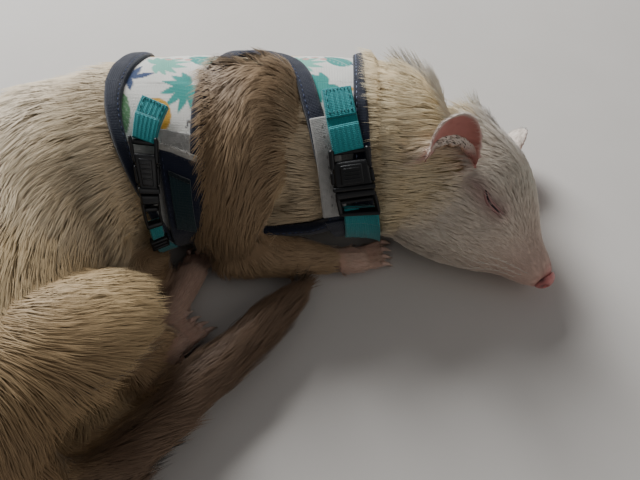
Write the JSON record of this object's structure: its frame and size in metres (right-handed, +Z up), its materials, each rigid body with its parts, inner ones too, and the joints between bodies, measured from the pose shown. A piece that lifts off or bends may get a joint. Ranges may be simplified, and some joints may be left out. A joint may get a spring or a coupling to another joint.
{
  "type": "ferret in a vest harness, asleep",
  "caption": "Life-size still model of a ferret asleep on its side, curled, wearing a padded vest harness with webbing straps and side-release buckles.",
  "frame": {"origin": "middle of the flat under the chest, on the floor", "axes": "+Z up, +X along the chest towards the head, -Y towards the open side of the curl, where the camera is"},
  "size_m": [0.2249, 0.1783, 0.0685],
  "materials": {
    "black": "moulded plastic, satin",
    "brown": "fur, taupe brown",
    "cream": "fur, cream",
    "felt": "soft brushed loop cloth",
    "navy": "folded binding tape",
    "nose": "moist bare skin",
    "print": "padded cloth with a printed leaf pattern",
    "sand": "fur, sandy beige",
    "skin": "bare or thinly furred pink skin",
    "teal": "woven webbing"
  },
  "bodies": {
    "root": {"abdomen": "sand", "binding_armhole_left": "navy", "binding_armhole_right": "navy", "binding_collar": "navy", "binding_rear": "navy", "buckle_girth_prongs": "black", "buckle_girth_slider": "black", "buckle_girth_socket": "black", "buckle_neck_prongs": "black", "buckle_neck_socket": "black", "chest": "cream", "closure_neck": "felt", "ear_left": "skin", "ear_right": "skin", "foreleg_left_lower": "brown", "foreleg_left_upper": "brown", "foreleg_right_lower": "brown", "foreleg_right_upper": "brown", "forepaw_left": "skin", "forepaw_right": "skin", "head": "cream", "hindfoot_left": "skin", "hindfoot_right": "skin", "hindleg_left_shank": "sand", "hindleg_right_shank": "sand", "hindleg_right_thigh": "sand", "neck": "cream", "nose": "nose", "rump": "sand", "strap_girth_lower": "teal", "strap_girth_upper": "teal", "strap_neck_lower": "teal", "strap_neck_upper": "teal", "tail_middle": "brown", "tail_root": "brown", "tail_tip": "brown", "vest_back": "print", "vest_belly": "felt"}
  },
  "joints": []
}
